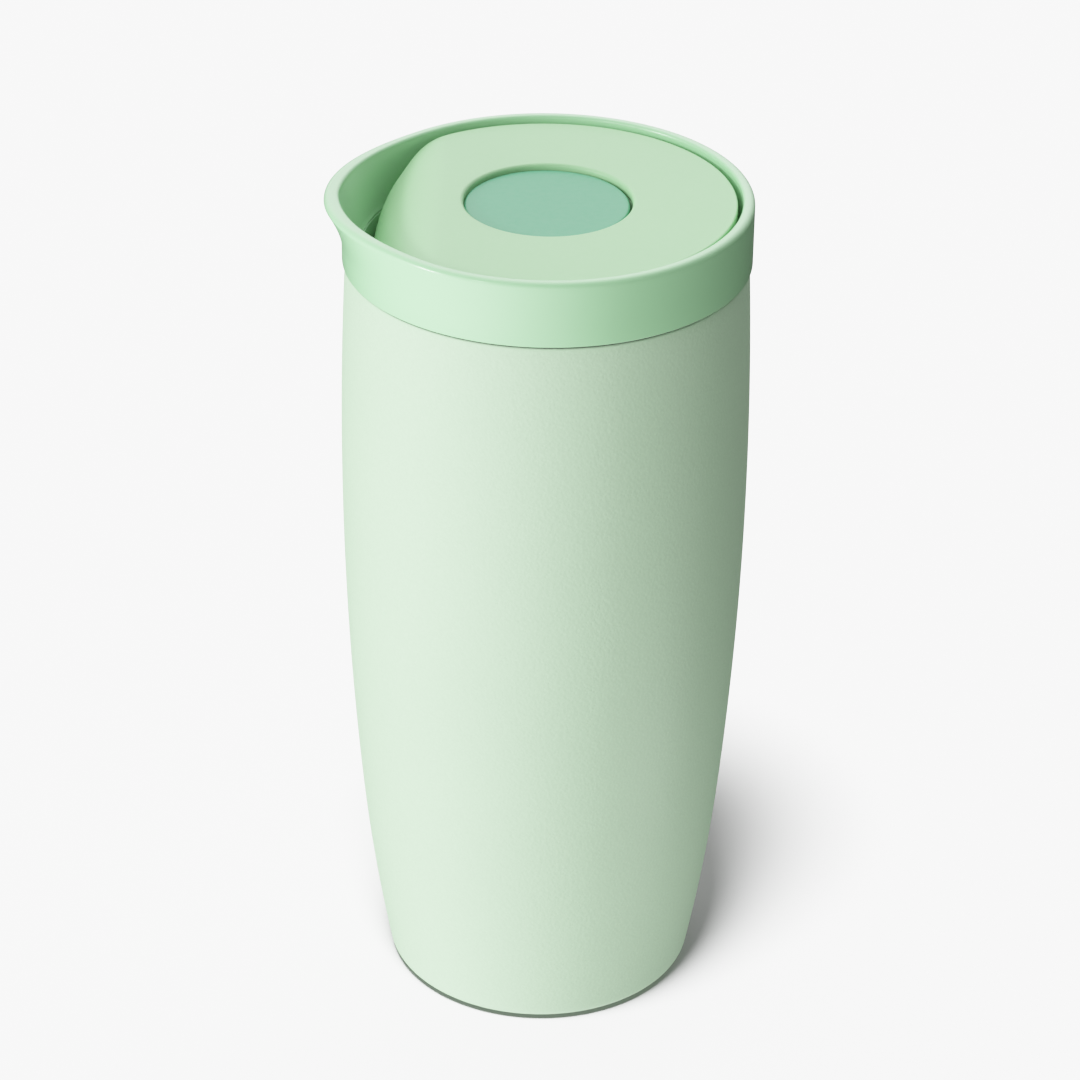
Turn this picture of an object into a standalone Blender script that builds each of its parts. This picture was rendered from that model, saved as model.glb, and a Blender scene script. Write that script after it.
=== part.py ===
"""Insulated travel mug with a screw-in lid, a drinking spout and a push-button valve.

The mug stands on its base pad at Z = 0 with its axis on Z; the spout points to -X.
Sizes are named in millimetres and every vertex is converted to metres by MM.
A turned piece is a closed outline of (radius, height) points carried round the axis.
"""
from math import asin, cos, degrees, pi, radians, sin, sqrt

import bmesh
import bpy
from mathutils import Matrix, Vector

MM = 0.001

# Driving dimensions of the flask, in millimetres
SHELL_RADIUS = 43.8        # widest outer radius
SHELL_WIDEST_AT = 125.0    # height of the widest point
BARREL_ARC = 900.0         # radius of the long arc of the barrel
LOWER_ARC = 450.0          # radius of the tighter arc towards the base
LOWER_ARC_TOP = 44.0       # height where the two arcs meet smoothly
LIP_TOP = 173.5            # top of the steel lip
BASE_BOTTOM = 0.6          # the base pad stands this much below the shell
BASE_CORNER = 2.2          # outer corner radius at the base
SHEET = 0.6                # thickness of the steel sheet
VACUUM_GAP = 3.5           # between the two walls
LINER_FLOOR = 9.0          # inside bottom
LINER_CORNER = 12.0        # inside corner radius at the bottom
MOUTH_RADIUS = 40.9        # inside radius of the mouth
MOUTH_BOTTOM = 157.6       # where the gasket seat starts
SEAT_BOTTOM = 154.4        # where the gasket seat meets the barrel

# Driving dimensions of the thread, shared by the mouth and the lid
THREAD_LEAD = 12.0         # rise in one turn
THREAD_STARTS = 3
THREAD_DEPTH = 1.0
THREAD_ROOT = 0.8          # half thickness of a ridge at its root
THREAD_CREST = 0.5         # half thickness of a ridge at its crest
MOUTH_RIDGE_START = 163.5  # height of a mouth ridge where it begins
LID_LUG_START = 161.55     # height of a lid lug where it begins
RIDGE_ANGLE = 90.0         # length of a ridge round the axis, in degrees

# Driving dimensions of the lid, in millimetres
SEAM = 174.0               # bottom of the collar
COVER_TOP = 186.9
RIM_TOP = 188.1
COLLAR_RADIUS = 43.1
COLLAR_INNER = 40.6        # inner radius at the rim
SPOUT_REACH = 3.6          # how far the spout's outer wall stands out
SPOUT_INNER_REACH = 2.8    # how far its inner wall stands out
SPOUT_HALF_ANGLE = 50.0
FLARE_BOTTOM = 177.5       # the spout's flare starts here
PLUG_RADIUS = 39.5         # below the lid's shoulder
SHOULDER_RADIUS = 40.4
PLUG_TOP = 176.0
PLUG_BOTTOM = 153.4
FLOOR_TOP = 160.0          # floor inside the plug
FLOOR_BOTTOM = 158.0
COVER_RADIUS = 39.8
COVER_SKIRT = 38.8
COVER_THICK = 2.0
RAMP_START = -21.5         # X where the cover rolls off towards the spout
RAMP_END = -37.0           # X where the ramp has become vertical
RAMP_BOTTOM = 171.4
RAMP_THICK = 1.8

# Driving dimensions of the push-button valve, in millimetres
STROKE = 4.0
BUTTON_RADIUS = 17.3
BUTTON_TOP = 185.8
BUTTON_BORE = 17.7
GUIDE_BOTTOM = 165.2
GUIDE_FLOOR = 166.8
STEM_RADIUS = 3.2
TOOTH_COUNT = 8
TOOTH_HIGH = 178.4         # highest point of the ratchet teeth of the sleeve
TOOTH_DROP_ANGLE = 1.5     # angle taken by the steep side of a tooth, in degrees
TOOTH_GAP = 0.4
SPRING_RADIUS = 13.4
SPRING_WIRE = 0.6          # wire radius
SPRING_BOTTOM = 167.1
SPRING_TOP = 183.9
SPRING_TURNS = 6
FLOW_HOLE_RADIUS = 2.6
FLOW_HOLE_CIRCLE = 10.0
GAP = 0.3                  # between pieces that touch

SMOOTH_ANGLE = radians(35)


def clear_scene():
    for item in list(bpy.data.objects):
        bpy.data.objects.remove(item, do_unlink=True)


def make_material(name, colour, roughness, metallic=0.0):
    material = bpy.data.materials.new(name)
    material.use_nodes = True
    shader = material.node_tree.nodes["Principled BSDF"]
    shader.inputs["Base Color"].default_value = (*colour, 1.0)
    shader.inputs["Roughness"].default_value = roughness
    shader.inputs["Metallic"].default_value = metallic
    return material


def add_object(name, form, material):
    """Turn a bmesh, built in millimetres, into a named object in metres."""
    bmesh.ops.scale(form, vec=(MM, MM, MM), verts=form.verts)
    bmesh.ops.recalc_face_normals(form, faces=form.faces)
    mesh = bpy.data.meshes.new(name)
    form.to_mesh(mesh)
    form.free()
    mesh.shade_smooth()
    mesh.set_sharp_from_angle(angle=SMOOTH_ANGLE)
    mesh.materials.append(material)
    item = bpy.data.objects.new(name, mesh)
    bpy.context.collection.objects.link(item)
    return item


def set_origin(item, height):
    """Move the origin of a moving piece up its axis, leaving its mesh in place."""
    item.data.transform(Matrix.Translation((0, 0, -height * MM)))
    item.location.z = height * MM


def even_angles(count):
    return [360.0 * step / count for step in range(count)]


def ring(section, angles):
    """Carry a closed section round Z. The section is a list, or a function of the angle."""
    form = bmesh.new()
    columns = []
    for angle in angles:
        outline = section(angle) if callable(section) else section
        turn = radians(angle)
        columns.append([form.verts.new((r * cos(turn), r * sin(turn), z)) for r, z in outline])
    for column, following in zip(columns, columns[1:] + columns[:1]):
        for index in range(len(column)):
            after = (index + 1) % len(column)
            form.faces.new((column[index], following[index], following[after], column[after]))
    bmesh.ops.remove_doubles(form, verts=form.verts, dist=0.0001)
    return form


def arc(centre_r, centre_z, radius, start, end, steps):
    """Points of an arc in the section plane; angles in degrees from the outward direction."""
    points = []
    for step in range(steps + 1):
        turn = radians(start + (end - start) * step / steps)
        points.append((centre_r + radius * cos(turn), centre_z + radius * sin(turn)))
    return points


def lower_arc_centre():
    """Height of the lower arc's centre, which makes the two arcs meet smoothly."""
    return LOWER_ARC_TOP + (SHELL_WIDEST_AT - LOWER_ARC_TOP) * LOWER_ARC / BARREL_ARC


def barrel_radius(height, inset=0.0):
    """Outer radius of the flask: a long arc, and a tighter one that carries on below it."""
    rise = max(height, LOWER_ARC_TOP) - SHELL_WIDEST_AT
    radius = SHELL_RADIUS - BARREL_ARC + sqrt(BARREL_ARC ** 2 - rise ** 2) - inset
    if height < LOWER_ARC_TOP:
        drop = height - lower_arc_centre()
        start = LOWER_ARC_TOP - lower_arc_centre()
        radius += sqrt(LOWER_ARC ** 2 - drop ** 2) - sqrt(LOWER_ARC ** 2 - start ** 2)
    return radius


def barrel(bottom, top, inset, steps):
    heights = [bottom + (top - bottom) * step / steps for step in range(steps + 1)]
    return [(barrel_radius(height, inset), height) for height in heights]


def barrel_corner(floor, radius, inset, thickness, steps):
    """Rounded corner from a flat floor up to the barrel, pulled in by thickness."""
    centre_z = floor + radius
    lean = asin((lower_arc_centre() - centre_z) / (LOWER_ARC - radius))
    touch_z = centre_z - radius * sin(lean)
    centre_r = barrel_radius(touch_z, inset) - radius * cos(lean)
    return arc(centre_r, centre_z, radius + thickness, -90, -degrees(lean), steps)


def thread_rise(angle):
    """Height along a ridge; between two ridges the rows fall back to where they began."""
    pitch_angle = 360.0 / THREAD_STARTS
    local = angle % pitch_angle
    top = THREAD_LEAD * RIDGE_ANGLE / 360.0
    if local <= RIDGE_ANGLE:
        return THREAD_LEAD * local / 360.0
    return top * (pitch_angle - local) / (pitch_angle - RIDGE_ANGLE)


def thread_height(angle):
    """Full depth along the ridge, none at its two ends and between ridges."""
    local = angle % (360.0 / THREAD_STARTS)
    return THREAD_DEPTH if 1.0 < local < RIDGE_ANGLE - 1.0 else 0.0


def thread_rows(wall, direction, start, angle):
    """Four points across one ridge, from its upper root to its lower root."""
    middle = start + thread_rise(angle)
    crest = wall + direction * thread_height(angle)
    return [
        (wall, middle + THREAD_ROOT),
        (crest, middle + THREAD_CREST),
        (crest, middle - THREAD_CREST),
        (wall, middle - THREAD_ROOT),
    ]


# ---------------------------------------------------------------- flask

def make_outer_shell(material):
    outer = barrel(14.0, LIP_TOP - 0.4, 0.0, 7)
    inner = barrel(14.0, LIP_TOP - 0.4, SHEET, 7)
    lip_outer = barrel_radius(LIP_TOP)
    section = [(26.9, BASE_BOTTOM)]
    section += barrel_corner(BASE_BOTTOM, BASE_CORNER, 0.0, 0.0, 4)
    section += outer
    section += [(lip_outer - 0.15, LIP_TOP - 0.1), (lip_outer - 0.3, LIP_TOP)]
    section += [(lip_outer - SHEET, LIP_TOP)]
    section += reversed(inner)
    section += reversed(barrel_corner(BASE_BOTTOM, BASE_CORNER, 0.0, -SHEET, 3))
    section += [(26.9, BASE_BOTTOM + SHEET)]
    return add_object("outer_shell", ring(section, even_angles(36)), material)


def make_inner_liner(material):
    inset = 2 * SHEET + VACUUM_GAP
    outer_wall = MOUTH_RADIUS + SHEET

    def section(angle):
        inside = [(MOUTH_RADIUS, LIP_TOP - 0.3)]
        inside += thread_rows(MOUTH_RADIUS, -1.0, MOUTH_RIDGE_START, angle)
        inside += [(MOUTH_RADIUS, MOUTH_BOTTOM)]
        inside += reversed(barrel(35.0, SEAT_BOTTOM, inset, 4))
        inside += reversed(barrel_corner(LINER_FLOOR, LINER_CORNER, inset, 0.0, 4))
        outside = barrel_corner(LINER_FLOOR, LINER_CORNER, inset, SHEET, 4)
        outside += barrel(35.0, SEAT_BOTTOM, inset - SHEET, 4)
        outside += [(outer_wall, MOUTH_BOTTOM - GAP), (outer_wall, LIP_TOP - 0.2)]
        lip = [(outer_wall - 0.2, LIP_TOP), (MOUTH_RADIUS + 0.2, LIP_TOP)]
        return inside + [(0.0, LINER_FLOOR), (0.0, LINER_FLOOR - SHEET)] + outside + lip

    return add_object("inner_liner", ring(section, even_angles(36)), material)


def make_outer_base(material):
    section = [(1.5, 2.3), (25.9, 2.3), (25.9, 0.9), (26.6, 0.9), (26.6, 2.9), (1.5, 2.9)]
    return add_object("outer_base", ring(section, even_angles(36)), material)


def make_vacuum_seal(material):
    section = [(0, 1.3), (2.9, 1.3), (3.2, 1.6), (3.2, 2.0), (1.1, 2.0), (1.1, 3.4), (0, 3.6)]
    return add_object("vacuum_seal", ring(section, even_angles(16)), material)


def make_getter(material):
    section = [(0, 3.2), (3.6, 3.2), (4.0, 3.6), (4.0, 5.0), (3.6, 5.4), (0, 5.4)]
    form = ring(section, even_angles(16))
    bmesh.ops.translate(form, vec=(12.0, 0.0, 0.0), verts=form.verts)
    return add_object("getter", form, material)


def make_base_pad(material):
    section = [(0, 0), (25.1, 0), (25.6, 0.5), (25.6, 2.0), (3.6, 2.0), (3.6, 1.0), (0, 1.0)]
    return add_object("base_pad", ring(section, even_angles(36)), material)


# ---------------------------------------------------------------- lid

def spout_share(angle):
    """1 at the tip of the spout, on -X, and 0 outside the spout."""
    away = abs((angle - 180.0 + 180.0) % 360.0 - 180.0)
    if away >= SPOUT_HALF_ANGLE:
        return 0.0
    return cos(pi / 2 * away / SPOUT_HALF_ANGLE) ** 2


def collar_section(angle):
    share = spout_share(angle)
    round_radius = 1.2
    round_bottom = RIM_TOP - round_radius
    outside = [(COLLAR_RADIUS - 0.4, SEAM), (COLLAR_RADIUS, SEAM + 0.4)]
    steps = 5
    for step in range(steps + 1):
        part = step / steps
        height = FLARE_BOTTOM + part * (round_bottom - FLARE_BOTTOM)
        outside.append((COLLAR_RADIUS + SPOUT_REACH * share * part ** 1.8, height))
    outer_top = outside[-1][0]
    rim = arc(outer_top - round_radius, round_bottom, round_radius, 30, 90, 2)
    inner_top = COLLAR_INNER + SPOUT_INNER_REACH * share
    rim += [(inner_top + 0.7, RIM_TOP), (inner_top + 0.2, RIM_TOP - 0.2)]
    step_height = PLUG_TOP + 0.4
    inside = []
    for step in range(steps):
        part = 1.0 - step / (steps - 1)
        height = step_height + part * (RIM_TOP - 0.7 - step_height)
        taper = (COLLAR_INNER - 39.3) * part ** 0.5
        inside.append((39.3 + taper + SPOUT_INNER_REACH * share * part ** 1.3, height))
    rebate = SHOULDER_RADIUS + GAP
    return outside + rim + inside + [(rebate, step_height), (rebate, SEAM)]


def make_lid_collar(material):
    angles = []
    angle = 0.0
    while angle < 360.0:
        angles.append(angle)
        angle += 5.0 if 120.0 <= angle < 240.0 else 10.0
    return add_object("lid_collar", ring(collar_section, angles), material)


def make_lid_plug(material):
    def section(angle):
        outside = [(37.7, PLUG_BOTTOM), (37.7, 154.6), (37.0, 154.6), (37.0, 157.4)]
        outside += [(PLUG_RADIUS, 157.4)]
        outside += reversed(thread_rows(PLUG_RADIUS, 1.0, LID_LUG_START, angle))
        outside += [(PLUG_RADIUS, 168.3), (SHOULDER_RADIUS, 168.3), (SHOULDER_RADIUS, PLUG_TOP)]
        inside = [(39.2, PLUG_TOP), (39.2, 169.0), (38.0, 168.0), (38.0, FLOOR_TOP)]
        inside += [(6.0, FLOOR_TOP), (6.0, 161.5), (3.7, 161.5), (3.7, FLOOR_BOTTOM)]
        inside += [(35.6, FLOOR_BOTTOM), (35.6, PLUG_BOTTOM)]
        return outside + inside

    plug = add_object("lid_plug", ring(section, even_angles(36)), material)
    cut_with(plug, make_flow_hole_cutter(), "DIFFERENCE")
    return plug


def make_flow_hole_cutter():
    form = bmesh.new()
    for angle in even_angles(6):
        turn = radians(angle + 30.0)
        created = bmesh.ops.create_cone(
            form, cap_ends=True, segments=12, depth=8.0,
            radius1=FLOW_HOLE_RADIUS, radius2=FLOW_HOLE_RADIUS)
        place = (FLOW_HOLE_CIRCLE * cos(turn), FLOW_HOLE_CIRCLE * sin(turn), 159.0)
        bmesh.ops.translate(form, vec=place, verts=created["verts"])
    return add_cutter("flow_hole_cutter", form)


def add_cutter(name, form):
    cutter = add_object(name, form, bpy.data.materials[0])
    cutter.hide_render = True
    cutter.display_type = "WIRE"
    return cutter


def cut_with(item, cutter, operation):
    modifier = item.modifiers.new(cutter.name, "BOOLEAN")
    modifier.operation = operation
    modifier.solver = "EXACT"
    modifier.object = cutter


def make_lid_gasket(material):
    section = [(37.3, 154.9), (38.5, 154.9), (39.4, 156.4), (39.4, 157.1), (37.3, 157.1)]
    return add_object("lid_gasket", ring(section, even_angles(36)), material)


def ramp_point(part):
    """Point (X, Z) of the ramp: a quarter ellipse from the flat cover down to vertical."""
    turn = pi / 2 * part
    reach = RAMP_END - RAMP_START
    drop = COVER_TOP - RAMP_BOTTOM
    return Vector((RAMP_START + reach * sin(turn), COVER_TOP - drop * (1 - cos(turn))))


def make_ramp_plate():
    """Curved plate under the ramp, its ends buried in the cover's skirt."""
    bury = COVER_SKIRT - 0.7
    steps = 10
    form = bmesh.new()
    rows = []
    for step in range(steps + 1):
        part = step / steps
        middle = ramp_point(part)
        out = Vector((-sin(pi / 2 * part), cos(pi / 2 * part)))
        width = sqrt(bury ** 2 - middle.x ** 2)
        row = []
        for offset, side in ((0.9, -1), (0.9, 1), (-RAMP_THICK, 1), (-RAMP_THICK, -1)):
            spot = middle + out * offset
            row.append(form.verts.new((spot.x, side * width, spot.y)))
        rows.append(row)
    for row, following in zip(rows, rows[1:]):
        for index in range(4):
            after = (index + 1) % 4
            form.faces.new((row[index], following[index], following[after], row[after]))
    form.faces.new(rows[0])
    form.faces.new(rows[-1])
    return add_cutter("ramp_plate", form)


def make_scoop():
    """Everything above and outside the ramp, as an extruded outline."""
    steps = 10
    outline = [ramp_point(step / steps) for step in range(steps + 1)]
    outline += [Vector((RAMP_END, 160.0)), Vector((-60.0, 160.0))]
    outline += [Vector((-60.0, 200.0)), Vector((RAMP_START, 200.0))]
    form = bmesh.new()
    near = [form.verts.new((spot.x, -50.0, spot.y)) for spot in outline]
    face = form.faces.new(near)
    extruded = bmesh.ops.extrude_face_region(form, geom=[face])
    moved = [part for part in extruded["geom"] if isinstance(part, bmesh.types.BMVert)]
    bmesh.ops.translate(form, vec=(0.0, 100.0, 0.0), verts=moved)
    return add_cutter("ramp_scoop", form)


def make_top_cover(material):
    underside = COVER_TOP - COVER_THICK
    section = [(BUTTON_BORE, underside)]
    section += list(reversed(arc(BUTTON_BORE + 0.8, COVER_TOP - 0.8, 0.8, 90, 180, 3)))
    section += [(COVER_RADIUS - 0.4, COVER_TOP), (COVER_RADIUS, COVER_TOP - 0.4)]
    section += [(COVER_RADIUS, underside), (COVER_SKIRT, underside), (COVER_SKIRT, RAMP_BOTTOM)]
    section += [(COVER_SKIRT - 1.5, RAMP_BOTTOM), (COVER_SKIRT - 1.5, underside)]
    cover = add_object("top_cover", ring(section, even_angles(48)), material)
    cut_with(cover, make_ramp_plate(), "UNION")
    cut_with(cover, make_scoop(), "DIFFERENCE")
    return cover


# ---------------------------------------------------------------- button and valve

def make_button_guide(material):
    bore = BUTTON_BORE + 0.05
    section = [(3.7, GUIDE_FLOOR), (bore, GUIDE_FLOOR), (bore, 184.6), (19.4, 184.6)]
    section += [(19.4, GUIDE_BOTTOM), (7.4, GUIDE_BOTTOM), (7.4, 162.6), (5.9, 162.6)]
    section += [(5.9, GUIDE_BOTTOM), (3.7, GUIDE_BOTTOM)]
    return add_object("button_guide", ring(section, even_angles(36)), material)


def make_stem_seal(material):
    section = [(3.5, 163.3), (5.6, 163.3), (5.6, 164.9), (3.5, 164.9)]
    return add_object("stem_seal", ring(section, even_angles(20)), material)


def tooth_angles():
    """Angles at the ends of each tooth's slope and its steep side, and between."""
    pitch = 360.0 / TOOTH_COUNT
    slope = pitch - TOOTH_DROP_ANGLE
    return [pitch * tooth + slope * step / 4 for tooth in range(TOOTH_COUNT) for step in range(5)]


def tooth_height(angle):
    """Saw-tooth that falls as the angle grows, one stroke in one pitch of the teeth."""
    pitch = 360.0 / TOOTH_COUNT
    slope = pitch - TOOTH_DROP_ANGLE
    local = angle % pitch
    return TOOTH_HIGH - STROKE * min(local, slope) / pitch


def make_cam_sleeve(material):
    def section(angle):
        tooth = tooth_height(angle)
        outside = [(11.4, GUIDE_FLOOR + GAP), (11.4, 179.6), (7.6, 179.6)]
        return outside + [(7.6, tooth), (9.9, tooth), (9.9, GUIDE_FLOOR + GAP)]

    return add_object("cam_sleeve", ring(section, tooth_angles()), material)


def make_cam_rotor(material):
    def section(angle):
        tooth = tooth_height(angle) - TOOTH_GAP
        outside = [(3.7, 172.4), (9.6, 172.4), (9.6, tooth)]
        return outside + [(7.4, tooth), (7.4, 173.8), (3.7, 173.8)]

    rotor = add_object("cam_rotor", ring(section, tooth_angles()), material)
    set_origin(rotor, 173.0)
    return rotor


def make_button(material):
    section = [(0, BUTTON_TOP)]
    section += list(reversed(arc(BUTTON_RADIUS - 0.8, BUTTON_TOP - 0.8, 0.8, 0, 90, 3)))
    section += [(BUTTON_RADIUS, 181.2), (16.0, 181.2), (16.0, 179.4), (BUTTON_RADIUS, 179.4)]
    section += [(BUTTON_RADIUS, 177.6), (14.9, 177.6), (14.9, 184.2), (6.9, 184.2)]
    section += [(6.9, 174.1), (3.6, 174.1), (3.6, 181.3), (0, 181.3)]
    button = add_object("button", ring(section, even_angles(36)), material)
    set_origin(button, BUTTON_TOP)
    return button


def make_button_seal(material):
    section = [(16.3, 179.7), (17.2, 179.7), (17.45, 180.3), (17.2, 180.9), (16.3, 180.9)]
    seal = add_object("button_seal", ring(section, even_angles(36)), material)
    set_origin(seal, 180.3)
    return seal


def make_valve_stem(material):
    section = [(0, 150.6), (2.4, 150.6), (2.4, 155.0), (STEM_RADIUS, 155.0)]
    section += [(STEM_RADIUS, 171.2), (6.5, 171.2), (6.5, 172.1), (STEM_RADIUS, 172.1)]
    section += [(STEM_RADIUS, 180.5), (2.7, 181.0), (0, 181.0)]
    stem = add_object("valve_stem", ring(section, even_angles(20)), material)
    set_origin(stem, 171.2)
    return stem


def make_valve_seal(material):
    section = [(3.5, 155.2), (14.8, 155.2), (15.5, 156.2), (15.5, 157.7), (3.5, 157.7)]
    seal = add_object("valve_seal", ring(section, even_angles(28)), material)
    set_origin(seal, 155.2)
    return seal


def make_valve_plug(material):
    section = [(2.8, 152.6), (10.0, 152.6), (14.0, 154.0), (14.0, 154.9), (2.8, 154.9)]
    plug = add_object("valve_plug", ring(section, even_angles(28)), material)
    set_origin(plug, 152.6)
    return plug


def make_valve_nut(material):
    section = [(0, 149.6), (4.6, 149.6), (5.2, 150.2), (5.2, 152.3), (2.8, 152.3)]
    section += [(2.8, 150.3), (0, 150.3)]
    nut = add_object("valve_nut", ring(section, even_angles(20)), material)
    set_origin(nut, 149.6)
    return nut


def spring_height(part):
    """Height of the wire's centre: the end turns lie flat, the middle rises evenly."""
    low = SPRING_BOTTOM + SPRING_WIRE
    high = SPRING_TOP - SPRING_WIRE
    end_turn = 1.0 / SPRING_TURNS
    end_rise = 2.2 * SPRING_WIRE
    if part < end_turn:
        return low + end_rise * part / end_turn
    if part > 1.0 - end_turn:
        return high - end_rise * (1.0 - part) / end_turn
    share = (part - end_turn) / (1.0 - 2 * end_turn)
    return low + end_rise + share * (high - low - 2 * end_rise)


def make_return_spring(material):
    per_turn = 18
    sides = 6
    count = SPRING_TURNS * per_turn
    form = bmesh.new()
    loops = []
    for step in range(count + 1):
        turn = 2 * pi * step / per_turn
        height = spring_height(step / count)
        loop = []
        for side in range(sides):
            around = 2 * pi * side / sides
            radius = SPRING_RADIUS + SPRING_WIRE * cos(around)
            loop.append(form.verts.new((
                radius * cos(turn), radius * sin(turn), height + SPRING_WIRE * sin(around))))
        loops.append(loop)
    for loop, following in zip(loops, loops[1:]):
        for side in range(sides):
            after = (side + 1) % sides
            form.faces.new((loop[side], following[side], following[after], loop[after]))
    form.faces.new(loops[0])
    form.faces.new(loops[-1])
    return add_object("return_spring", form, material)


def main():
    clear_scene()
    powder_coat = make_material("powder_coat", (0.58, 0.72, 0.55), 0.6)
    steel = make_material("steel", (0.62, 0.61, 0.59), 0.3, 1.0)
    lid_plastic = make_material("lid_plastic", (0.62, 0.77, 0.6), 0.35)
    button_plastic = make_material("button_plastic", (0.31, 0.56, 0.41), 0.4)
    inner_plastic = make_material("inner_plastic", (0.5, 0.62, 0.5), 0.45)
    silicone = make_material("silicone", (0.75, 0.78, 0.74), 0.7)
    acetal = make_material("acetal", (0.8, 0.8, 0.77), 0.4)
    spring_steel = make_material("spring_steel", (0.5, 0.5, 0.5), 0.25, 1.0)

    make_outer_shell(powder_coat)
    make_inner_liner(steel)
    make_outer_base(steel)
    make_vacuum_seal(steel)
    make_getter(spring_steel)
    make_base_pad(silicone)
    make_lid_collar(lid_plastic)
    make_lid_plug(lid_plastic)
    make_lid_gasket(silicone)
    make_top_cover(lid_plastic)
    make_button_guide(inner_plastic)
    make_stem_seal(silicone)
    make_cam_sleeve(acetal)
    make_cam_rotor(acetal)
    make_button(button_plastic)
    make_button_seal(silicone)
    make_valve_stem(acetal)
    make_valve_seal(silicone)
    make_valve_plug(inner_plastic)
    make_valve_nut(inner_plastic)
    make_return_spring(spring_steel)


main()
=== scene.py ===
"""Looks of the insulated travel mug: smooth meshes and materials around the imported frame.

Sizes are in millimetres and MM turns them into metres; only the floor, the lamp and the camera
are placed in metres. Z is up and the spout points to -X. A turned piece is a closed outline of
(radius, height) points carried round the mug's axis, where a third number is a fillet radius.
"""
from math import asin, atan2, cos, degrees, exp, pi, radians, sin, sqrt, tan

import bmesh
import bpy
from mathutils import Matrix, Vector


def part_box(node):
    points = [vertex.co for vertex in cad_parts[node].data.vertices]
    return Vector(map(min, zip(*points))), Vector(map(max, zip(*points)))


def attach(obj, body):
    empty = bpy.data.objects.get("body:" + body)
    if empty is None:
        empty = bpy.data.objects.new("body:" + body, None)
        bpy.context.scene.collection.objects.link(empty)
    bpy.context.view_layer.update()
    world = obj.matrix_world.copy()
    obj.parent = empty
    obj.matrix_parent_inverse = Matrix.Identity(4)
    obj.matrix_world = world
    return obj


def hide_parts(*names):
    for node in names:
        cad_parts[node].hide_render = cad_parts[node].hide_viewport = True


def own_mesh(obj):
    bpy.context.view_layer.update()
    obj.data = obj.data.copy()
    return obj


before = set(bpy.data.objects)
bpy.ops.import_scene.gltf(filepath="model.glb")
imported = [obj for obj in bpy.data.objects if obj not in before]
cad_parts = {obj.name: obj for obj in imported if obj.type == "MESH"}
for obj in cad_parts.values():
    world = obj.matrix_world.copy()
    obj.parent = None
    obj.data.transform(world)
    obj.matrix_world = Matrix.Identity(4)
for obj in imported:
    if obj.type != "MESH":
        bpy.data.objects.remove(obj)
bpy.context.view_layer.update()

MM = 0.001
SMOOTH_ANGLE = radians(38)
SAME_POINT = 0.0005        # points this close are merged
NO_LENGTH = 0.0001         # edges this short are dissolved


def top_of(node):
    """Height of a CAD node's top in millimetres."""
    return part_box(node)[1].z / MM


def bottom_of(node):
    """Height of a CAD node's bottom in millimetres."""
    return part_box(node)[0].z / MM


# Heights that the frame gives, in millimetres
LIP_TOP = top_of("outer_shell")
BASE_BOTTOM = bottom_of("outer_shell")
RIM_TOP = top_of("lid_collar")
SEAM = bottom_of("lid_collar")
COVER_TOP = top_of("top_cover")
COVER_BOTTOM = bottom_of("top_cover")
PLUG_TOP = top_of("lid_plug")
PLUG_BOTTOM = bottom_of("lid_plug")
BUTTON_TOP = top_of("button")
SPRING_BOTTOM = bottom_of("return_spring")
SPRING_TOP = top_of("return_spring")

# Flask
SHELL_RADIUS = 43.8
SHELL_WIDEST_AT = 125.0
BARREL_ARC = 900.0
LOWER_ARC = 450.0
LOWER_ARC_TOP = 44.0
BASE_CORNER = 2.2
BASE_OPENING = 26.9        # radius of the hole in the shell's bottom, which the base disc closes
BASE_LIP_ROUND = 0.25
SHEET = 0.6
LIP_ROUND = 0.45
LINER_INSET = 4.7
LINER_FLOOR = 9.0
LINER_CORNER = 12.0
LINER_STEP = 0.4           # the liner's floor is raised this much inside LINER_STEP_RADIUS
LINER_STEP_RADIUS = 14.0
MOUTH_RADIUS = 40.9
MOUTH_BOTTOM = 157.6
SEAT_BOTTOM = 154.4
GETTER_PLACE = 12.0        # distance of the getter from the axis
PAD_RADIUS = 25.6
PAD_GROOVES = (18.3, 21.3)
PAD_GROOVE_HALF = 0.7
PAD_GROOVE_DEPTH = 0.35

# Thread
THREAD_LEAD = 12.0
THREAD_STARTS = 3
THREAD_DEPTH = 1.0
THREAD_ROOT = 0.8
THREAD_CREST = 0.4
THREAD_MARGIN = 0.15       # plain wall beside a ridge, which keeps its shading off the rest
RIDGE_ANGLE = 90.0
RIDGE_TAPER = 10.0
MOUTH_RIDGE_START = 163.5
LID_LUG_START = 161.55

# Lid
COLLAR_RADIUS = 43.1
COLLAR_INNER = 40.6
COLLAR_FOOT = 39.3
SPOUT_REACH = 3.6
SPOUT_INNER_REACH = 2.9
SPOUT_HALF_ANGLE = 50.0
FLARE_BOTTOM = 177.5
OUTER_FLARE = 1.8          # power of the height by which the spout's walls swing out
INNER_FLARE = 1.3
CREASE_SHARE = 0.3         # how much of the inner wall's reach comes to a point at the tip
RIM_ROUND = 1.25
RIM_INNER_ROUND = 0.75
COVER_RADIUS = 39.5
COVER_WAIST = 37.0
WAIST_DEPTH = 3.5          # depth below the cover's top at which its edge has reached the waist
COVER_SKIRT = 38.8
COVER_WALL = 1.5
COVER_THICK = 2.0
COVER_EDGE_ROUND = 0.4
HOLE_RADIUS = 17.7
HOLE_ROUND = 0.8
RAMP_START = -21.5
RAMP_END = -37.0
RAMP_THICK = 1.8
PLUG_RADIUS = 39.5
SHOULDER_RADIUS = 40.4
FLOOR_TOP = 160.0
FLOOR_BOTTOM = 158.0
FLOW_HOLES = 6
FLOW_HOLE_RADIUS = 2.6
FLOW_HOLE_CIRCLE = 10.0
FLOW_HOLE_START = 30.0     # angle of the first hole

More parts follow.
